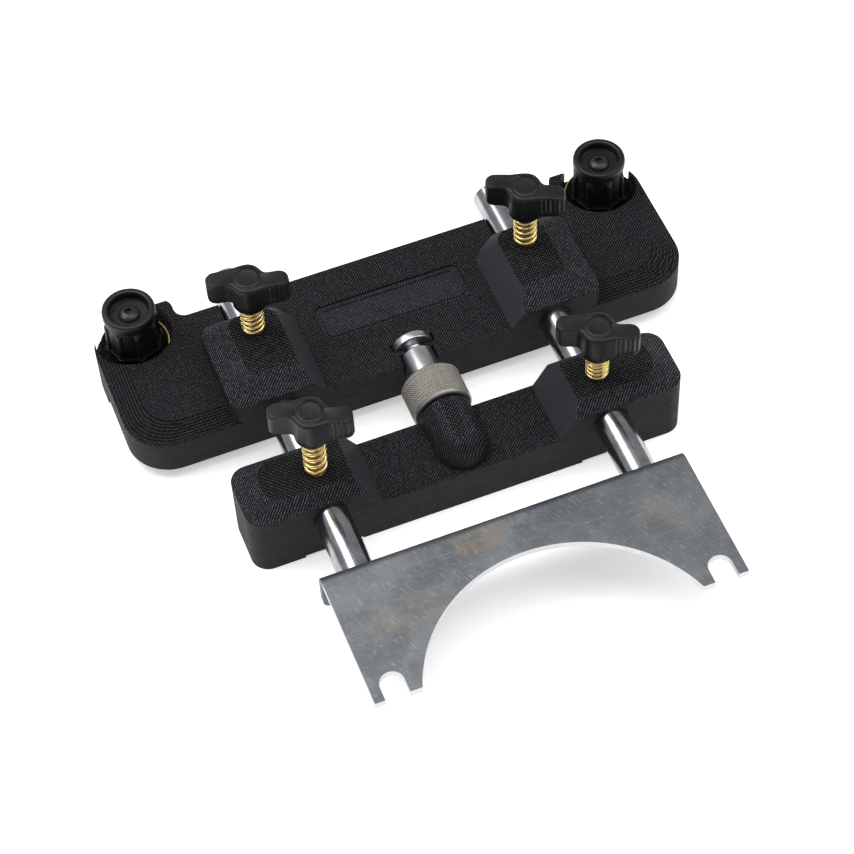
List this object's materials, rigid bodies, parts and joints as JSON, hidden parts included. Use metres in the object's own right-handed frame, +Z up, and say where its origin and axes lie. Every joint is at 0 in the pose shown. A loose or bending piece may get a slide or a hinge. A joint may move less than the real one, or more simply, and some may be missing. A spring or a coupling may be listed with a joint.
{
  "type": "router guide rail carriage",
  "caption": "Rail shoe and clamp block sliding on twin steel rods with wing clamps, a knurled fine adjuster and a notched bracket for a hand router.",
  "frame": {"origin": "middle of the rear sole strip of the rail shoe, on the face it stands on", "axes": "+X along the guide rail, +Y along the rods from the router towards the rail, +Z up"},
  "size_m": [0.199, 0.1816, 0.0594],
  "materials": {
    "printed_plastic": "layer-printed, satin",
    "knob_plastic": "moulded, fine satin",
    "cam_plastic": "turned acetal",
    "rod_steel": "ground and polished",
    "turned_steel": "turned",
    "knurled_steel": "fine diamond knurl, dulled",
    "bracket_steel": "bare sheet, scratched, with heat tint",
    "zinc_steel": "zinc plated",
    "black_screw_steel": "black oxide",
    "brass": "turned",
    "spring_brass": "bright drawn wire"
  },
  "bodies": {
    "shoe": {"rail_shoe": "printed_plastic", "clamp_insert_shoe_left": "brass", "clamp_insert_shoe_right": "brass", "clamp_spring_shoe_left": "spring_brass", "clamp_spring_shoe_right": "spring_brass", "play_washer_left": "brass", "play_washer_right": "brass"},
    "block": {"clamp_block": "printed_plastic", "adjuster_nut": "brass", "clamp_insert_block_left": "brass", "clamp_insert_block_right": "brass", "clamp_spring_block_left": "spring_brass", "clamp_spring_block_right": "spring_brass"},
    "rods": {"guide_rod_left": "rod_steel", "guide_rod_right": "rod_steel", "router_bracket": "bracket_steel", "rod_end_screws": "black_screw_steel"},
    "adjuster": {"adjuster_spindle": "turned_steel", "adjuster_wheel": "knurled_steel"},
    "tip_shoe_left": {"clamp_tip_shoe_left": "brass"},
    "knob_shoe_left": {"wing_knob_shoe_left": "knob_plastic", "clamp_stud_shoe_left": "zinc_steel"},
    "tip_shoe_right": {"clamp_tip_shoe_right": "brass"},
    "knob_shoe_right": {"wing_knob_shoe_right": "knob_plastic", "clamp_stud_shoe_right": "zinc_steel"},
    "tip_block_left": {"clamp_tip_block_left": "brass"},
    "knob_block_left": {"wing_knob_block_left": "knob_plastic", "clamp_stud_block_left": "zinc_steel"},
    "tip_block_right": {"clamp_tip_block_right": "brass"},
    "knob_block_right": {"wing_knob_block_right": "knob_plastic", "clamp_stud_block_right": "zinc_steel"},
    "play_left": {"play_knob_left": "knob_plastic", "play_cam_left": "cam_plastic", "play_screw_left": "black_screw_steel", "play_nut_left": "zinc_steel"},
    "play_right": {"play_knob_right": "knob_plastic", "play_cam_right": "cam_plastic", "play_screw_right": "black_screw_steel", "play_nut_right": "zinc_steel"}
  },
  "joints": [
    {"name": "wheel_turn", "type": "hinge", "parent": "shoe", "child": "adjuster", "pos_m": [0, -0.0643, 0.017], "axis": [0, -1, 0], "range_deg": [-4321, 289]},
    {"name": "fine_feed", "type": "slide", "parent": "shoe", "child": "block", "axis": [0, 1, 0], "range_m": [-0.012, 0.0008]},
    {"name": "rod_slide", "type": "slide", "parent": "block", "child": "rods", "axis": [0, 1, 0], "range_m": [-0.035, 0.024]},
    {"name": "shoe_left_clamp_lift", "type": "slide", "parent": "shoe", "child": "tip_shoe_left", "axis": [0, 0, 1], "range_m": [-0.0016, 0.0044], "deforming": ["clamp_spring_shoe_left"]},
    {"name": "shoe_left_clamp_turn", "type": "hinge", "parent": "tip_shoe_left", "child": "knob_shoe_left", "pos_m": [-0.04875, -0.0172, 0.0423], "axis": [0, 0, 1], "range_deg": [-721, 1981]},
    {"name": "shoe_right_clamp_lift", "type": "slide", "parent": "shoe", "child": "tip_shoe_right", "axis": [0, 0, 1], "range_m": [-0.0028, 0.0032], "deforming": ["clamp_spring_shoe_right"]},
    {"name": "shoe_right_clamp_turn", "type": "hinge", "parent": "tip_shoe_right", "child": "knob_shoe_right", "pos_m": [0.04875, -0.0172, 0.0435], "axis": [0, 0, 1], "range_deg": [-1261, 1441]},
    {"name": "block_left_clamp_lift", "type": "slide", "parent": "block", "child": "tip_block_left", "axis": [0, 0, 1], "range_m": [-0.0056, 0.0004], "deforming": ["clamp_spring_block_left"]},
    {"name": "block_left_clamp_turn", "type": "hinge", "parent": "tip_block_left", "child": "knob_block_left", "pos_m": [-0.04875, -0.0776, 0.045], "axis": [0, 0, 1], "range_deg": [-2521, 181]},
    {"name": "block_right_clamp_lift", "type": "slide", "parent": "block", "child": "tip_block_right", "axis": [0, 0, 1], "range_m": [0, 0.006], "deforming": ["clamp_spring_block_right"]},
    {"name": "block_right_clamp_turn", "type": "hinge", "parent": "tip_block_right", "child": "knob_block_right", "pos_m": [0.04875, -0.0776, 0.0394], "axis": [0, 0, 1], "range_deg": [-1, 2701]},
    {"name": "play_left_turn", "type": "hinge", "parent": "shoe", "child": "play_left", "pos_m": [-0.0853, 0.0045, 0.02], "axis": [0, 0, 1], "range_deg": [-90, 90]},
    {"name": "play_right_turn", "type": "hinge", "parent": "shoe", "child": "play_right", "pos_m": [0.0853, 0.0045, 0.02], "axis": [0, 0, 1], "range_deg": [-90, 90]}
  ],
  "couplings": [
    {"joint": "wheel_turn", "follows": "fine_feed", "rad_per_m": 6283.2},
    {"joint": "shoe_left_clamp_turn", "follows": "shoe_left_clamp_lift", "rad_per_m": 7854},
    {"joint": "shoe_right_clamp_turn", "follows": "shoe_right_clamp_lift", "rad_per_m": 7854},
    {"joint": "block_left_clamp_turn", "follows": "block_left_clamp_lift", "rad_per_m": 7854},
    {"joint": "block_right_clamp_turn", "follows": "block_right_clamp_lift", "rad_per_m": 7854}
  ]
}
